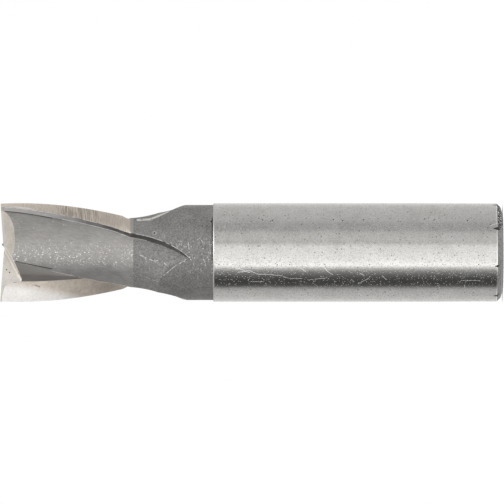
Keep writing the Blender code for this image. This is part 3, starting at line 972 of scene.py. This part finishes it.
def chamfer_marks(surface, sight):
    """Dark patches along its rim, torn dark patches on one side, and painted glints on that side."""
    rim = surface.below(CHAMFER_RIM_HEIGHT, CHAMFER_RIM_SOFTNESS)
    surface.paint(surface.both(rim, surface.patches(*CHAMFER_RIM_PATCHES)), *CHAMFER_RIM)
    side = surface.along_x(*TORN_SIDE)
    surface.paint(surface.both(side, surface.patches(*TORN_PATCHES)), *TORN)
    # Painted glints on the side towards +x
    surface.speckle(TORN_SIDE_GLINTS, side)


MARKS = {
    SHANK: shank_marks,
    NECK: neck_marks,
    CHAMFER: chamfer_marks,
    BACK: back_marks,
    STEP_WALL: step_marks,
    LAND: land_marks,
    RAKE: rake_marks,
    FLUTE: flute_marks,
    END_FLANK: end_flank_marks,
    GASH: gash_marks,
}


BURR_STEP = 0.11 * MM
BURR_GRAIN = 0.45 * MM
SHORTEST_RUN = 3
THINNEST_BURR = 0.5
BEAD_SIDES = 6
BEAD_END = 0.4

# The finishes that meet at each burred edge, the burr's radius, how unbroken it is, and its heights
BURRS = (
    ((STEP_WALL, NECK), 0.055 * MM, 0.35, 0.0, OVERALL_LENGTH),
    ((STEP_WALL, LAND), 0.03 * MM, 0.3, 0.0, OVERALL_LENGTH),
    ((STEP_WALL, BACK), 0.035 * MM, 0.5, height_at(150), height_at(60)),
    ((FLUTE, BACK), 0.022 * MM, 0.45, height_at(134), height_at(50)),
)


def meeting_lines(mesh, first, second):
    """The lines along which two finishes of the tool meet, each a list of points."""
    finishes_at = {}
    for polygon in mesh.polygons:
        for key in polygon.edge_keys:
            finishes_at.setdefault(key, set()).add(polygon.material_index)
    joined = {}
    for (start, end), kinds in finishes_at.items():
        if kinds == {first, second}:
            joined.setdefault(start, []).append(end)
            joined.setdefault(end, []).append(start)
    lines = []
    for vert in sorted(joined, key=lambda vert: (len(joined[vert]) == 2, vert)):
        while joined[vert]:
            line = [vert]
            while joined[line[-1]]:
                after = joined[line[-1]].pop()
                joined[after].remove(line[-1])
                line.append(after)
            lines.append([mesh.vertices[index].co.copy() for index in line])
    return lines


def resampled(points, step):
    """Points evenly spaced along a line of straight stretches."""
    made = [points[0]]
    left = step
    for start, end in zip(points, points[1:]):
        length = (end - start).length
        while left <= length:
            made.append(start.lerp(end, left / length))
            left += step
        left -= length
    return made


def burr_runs(line, coverage):
    """The unbroken runs of a burr along a line: pairs of a point and the burr's thickness there."""
    run = []
    for point in resampled(line, BURR_STEP):
        thickness = noise.noise(point / BURR_GRAIN) + coverage
        if thickness > 0:
            run.append((point, min(1.0, THINNEST_BURR + thickness)))
        else:
            if len(run) >= SHORTEST_RUN:
                yield run
            run = []
    if len(run) >= SHORTEST_RUN:
        yield run


def add_bead(bm, run, radius):
    """A thin closed tube along a run, standing half out of the surface."""
    rings = []
    last = len(run) - 1
    for index, (point, thickness) in enumerate(run):
        ahead = (run[min(index + 1, last)][0] - run[max(index - 1, 0)][0]).normalized()
        side = ahead.cross(Vector((point.x, point.y, 0))).normalized()
        out = side.cross(ahead)
        from_end = min(index, last - index)
        taper = min(1.0, (BEAD_END + from_end) / (BEAD_END + 1))
        ring = []
        for step in range(BEAD_SIDES):
            turn = 2 * math.pi * step / BEAD_SIDES
            reach = (side * math.cos(turn) + out * math.sin(turn)) * (radius * thickness * taper)
            place = point + reach
            inward = min(1.0, SHANK_RADIUS / place.xy.length)
            ring.append(bm.verts.new((place.x * inward, place.y * inward, place.z)))
        rings.append(ring)
    for ring, next_ring in zip(rings, rings[1:]):
        for step in range(BEAD_SIDES):
            after = (step + 1) % BEAD_SIDES
            bm.faces.new((ring[step], ring[after], next_ring[after], next_ring[step]))
    bm.faces.new(rings[0])
    bm.faces.new(rings[-1])


def burrs(mesh):
    """The raised bright burrs and worn rims along some of the tool's edges, as one piece."""
    name, *steel = BURR_FINISH
    material = bpy.data.materials.new(name)
    Surface(material, *steel).close()
    bm = bmesh.new()
    for (first, second), radius, coverage, low, high in BURRS:
        for line in meeting_lines(mesh, first, second):
            line = [point for point in line if low <= point.z <= high]
            if len(line) > 1:
                for run in burr_runs(line, coverage):
                    add_bead(bm, run, radius)
    made = mesh_object("burrs", bm, [material])
    made.data.shade_smooth()
    return made


WALL_DISTANCE = 0.4
WALL_HEIGHTS = (-0.45, 0.55)
WALL_STEP = 6.0
# The brightness round the tool, in degrees from the camera, towards the bottom of its picture
WALL_LIGHT = (
    (-180, 1.0),
    (-130, 0.72),
    (-80, 0.62),
    (-70, 0.52),
    (-54, 0.52),
    (-46, 0.70),
    (-28, 0.76),
    (-24, 0.64),
    (-20, 0.80),
    (-15, 1.06),
    (12, 1.26),
    (24, 1.40),
    (27, 1.62),
    (32, 1.50),
    (37, 0.74),
    (44, 0.34),
    (54, 0.17),
    (64, 0.08),
    (80, 0.08),
    (86, 0.16),
    (92, 0.48),
    (100, 0.62),
    (130, 0.75),
    (180, 1.0),
)


def light_wall():
    """A curved wall of light round the tool, seen only in its reflections, brighter in some places."""
    bm = bmesh.new()
    shade = bm.verts.layers.float.new("brightness")
    columns = []
    for (start, low), (end, high) in zip(WALL_LIGHT, WALL_LIGHT[1:]):
        for angle in steps_between(start, end, WALL_STEP)[:-1]:
            turn = math.radians(angle)
            column = [
                bm.verts.new((-WALL_DISTANCE * math.sin(turn), -WALL_DISTANCE * math.cos(turn), height))
                for height in WALL_HEIGHTS
            ]
            for vert in column:
                vert[shade] = low + (high - low) * (angle - start) / (end - start)
            columns.append(column)
    for column, next_column in zip(columns, columns[1:] + columns[:1]):
        bm.faces.new((*column, *reversed(next_column)))
    material = bpy.data.materials.new("light_wall")
    material.use_nodes = True
    tree = material.node_tree
    tree.nodes.clear()
    brightness = node(tree, "ShaderNodeAttribute", attribute_name="brightness").outputs["Fac"]
    glow = node(tree, "ShaderNodeEmission", {"Strength": brightness})
    node(tree, "ShaderNodeOutputMaterial", {"Surface": glow.outputs["Emission"]})
    made = mesh_object("light_wall", bm, [material])
    made.visible_camera = False
    made.visible_diffuse = False
    made.visible_shadow = False
    made.visible_transmission = False


FLOOR_RADIUS = 0.6
FLOOR_SIDES = 96
FLOOR_COLOUR = (0.86, 0.86, 0.86)
FLOOR_ROUGHNESS = 0.8
FLOOR_LIFT = 0.3
WORLD_LIGHT = 0.75
OVERHEAD_PLACE = (0.1, -0.2, 0.6)
OVERHEAD_SIZE = 0.4
OVERHEAD_POWER = 2.5
SENSOR_WIDTH = 36.0
CLIP_RANGE = (0.01, 20.0)


def floor():
    """A pale round floor. What the camera sees of it is lifted to white, and its shadows stay.

    It is hidden from glossy rays, so the steel reflects the light wall in its place.
    """
    material = bpy.data.materials.new("pale_floor")
    material.use_nodes = True
    tree = material.node_tree
    shader = tree.nodes["Principled BSDF"]
    shader.inputs["Base Color"].default_value = opaque(FLOOR_COLOUR)
    shader.inputs["Roughness"].default_value = FLOOR_ROUGHNESS
    shader.inputs["Emission Color"].default_value = (1, 1, 1, 1)
    path = node(tree, "ShaderNodeLightPath")
    seen = math_node(tree, "MAXIMUM", path.outputs["Is Camera Ray"], path.outputs["Is Glossy Ray"])
    tree.links.new(math_node(tree, "MULTIPLY", seen, FLOOR_LIFT), shader.inputs["Emission Strength"])
    bm = bmesh.new()
    bmesh.ops.create_circle(bm, cap_ends=True, radius=FLOOR_RADIUS, segments=FLOOR_SIDES)
    made = mesh_object("floor", bm, [material])
    made.visible_glossy = False


def world():
    """A plain bright surround, which the camera sees as white."""
    made = bpy.data.worlds.new("studio")
    made.use_nodes = True
    tree = made.node_tree
    tree.nodes.clear()
    path = node(tree, "ShaderNodeLightPath")
    strength = ramp(tree, path.outputs["Is Camera Ray"], 0.0, 1.0, WORLD_LIGHT, 1.0)
    background = node(tree, "ShaderNodeBackground", {"Color": (1, 1, 1, 1), "Strength": strength})
    node(tree, "ShaderNodeOutputWorld", {"Surface": background.outputs["Background"]})
    bpy.context.scene.world = made


def overhead_light():
    light = bpy.data.lights.new("overhead", "AREA")
    light.size = OVERHEAD_SIZE
    light.energy = OVERHEAD_POWER
    lamp = bpy.data.objects.new("overhead", light)
    lamp.location = OVERHEAD_PLACE
    aim = Vector((0, 0, OVERALL_LENGTH / 2)) - lamp.location
    lamp.rotation_euler = aim.to_track_quat("-Z", "Y").to_euler()
    bpy.context.scene.collection.objects.link(lamp)


def camera():
    lens = bpy.data.cameras.new("camera")
    lens.sensor_width = SENSOR_WIDTH
    lens.lens = SENSOR_WIDTH * CAMERA_DISTANCE / FRAME_WIDTH
    lens.clip_start, lens.clip_end = CLIP_RANGE
    made = bpy.data.objects.new("camera", lens)
    right, up, back = Vector((0, 0, -1)), Vector((1, 0, 0)), Vector((0, -1, 0))
    turn = Matrix((right, up, back)).transposed().to_4x4()
    made.matrix_world = Matrix.Translation(CAMERA_PLACE) @ turn
    bpy.context.scene.collection.objects.link(made)
    bpy.context.scene.camera = made


def studio():
    world()
    floor()
    light_wall()
    overhead_light()
    camera()
    bpy.context.scene.view_settings.view_transform = "Standard"


def dressed_tool():
    """The finished tool and its burrs, with every surface's material."""
    materials = [bpy.data.materials.new(name) for name, *_ in FINISHES]
    tool = cut_tool(materials)
    sight = Sight(tool)
    for finish, (_, *steel) in enumerate(FINISHES):
        surface = Surface(materials[finish], *steel)
        if finish in MARKS:
            MARKS[finish](surface, sight)
        surface.close()
    return tool, burrs(tool.data)


tool, raised = dressed_tool()
for piece in (tool, raised):
    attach(piece, "root")
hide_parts(NODE)
studio()
